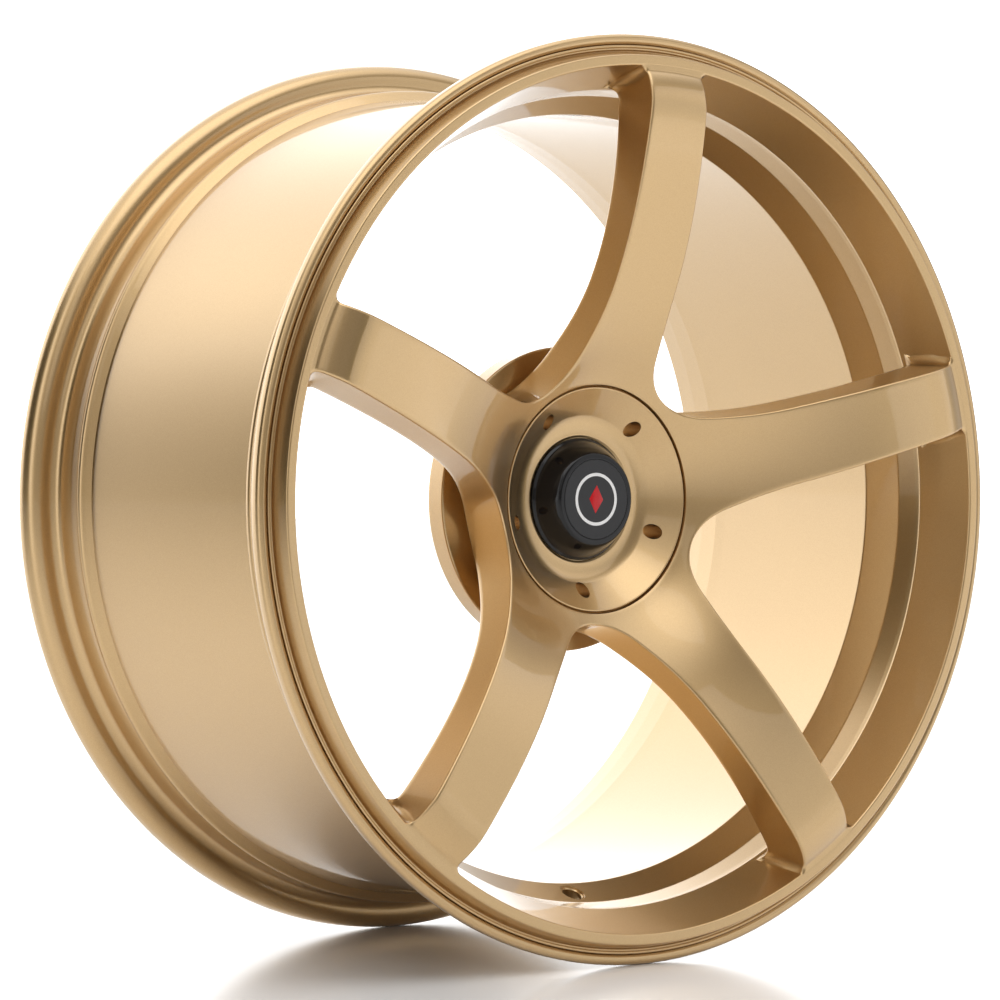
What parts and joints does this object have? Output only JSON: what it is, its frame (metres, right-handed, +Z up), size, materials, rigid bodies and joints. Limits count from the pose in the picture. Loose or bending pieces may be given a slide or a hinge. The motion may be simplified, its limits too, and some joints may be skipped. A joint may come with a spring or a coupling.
{
  "type": "forged racing wheel rim",
  "caption": "One-piece forged light-alloy wheel with a dished spoked centre, stepped lip, deep drop-centre barrel, undrilled hub with pilot holes and a snap-in centre cap.",
  "frame": {"origin": "centre of the hub's mounting face, on the axle", "axes": "+Y along the axle, inboard towards the car; -Y towards the outboard face; +Z up, towards the first spoke"},
  "size_m": [0.5176, 0.259, 0.5176],
  "materials": {
    "gold_paint": "gloss",
    "cap_gloss_black": "gloss",
    "cap_disc_grey": "satin",
    "spring_steel": "satin",
    "inlay_white": "gloss",
    "inlay_red": "gloss"
  },
  "bodies": {
    "wheel": {"front_lip": "gold_paint", "drop_centre": "gold_paint", "barrel_wall_ring": "gold_paint", "rear_flange": "gold_paint", "hub": "gold_paint", "spoke_1": "gold_paint", "spoke_2": "gold_paint", "spoke_3": "gold_paint", "spoke_4": "gold_paint", "spoke_5": "gold_paint"},
    "cap": {"cap_shell": "cap_gloss_black", "cap_spring_ring": "spring_steel", "cap_face_disc": "cap_disc_grey", "cap_ring_inlay": "inlay_white", "cap_diamond_inlay": "inlay_red"}
  },
  "joints": [
    {"name": "cap_pull", "type": "slide", "parent": "wheel", "child": "cap", "axis": [0, -1, 0], "range_m": [0, 0.06]}
  ]
}
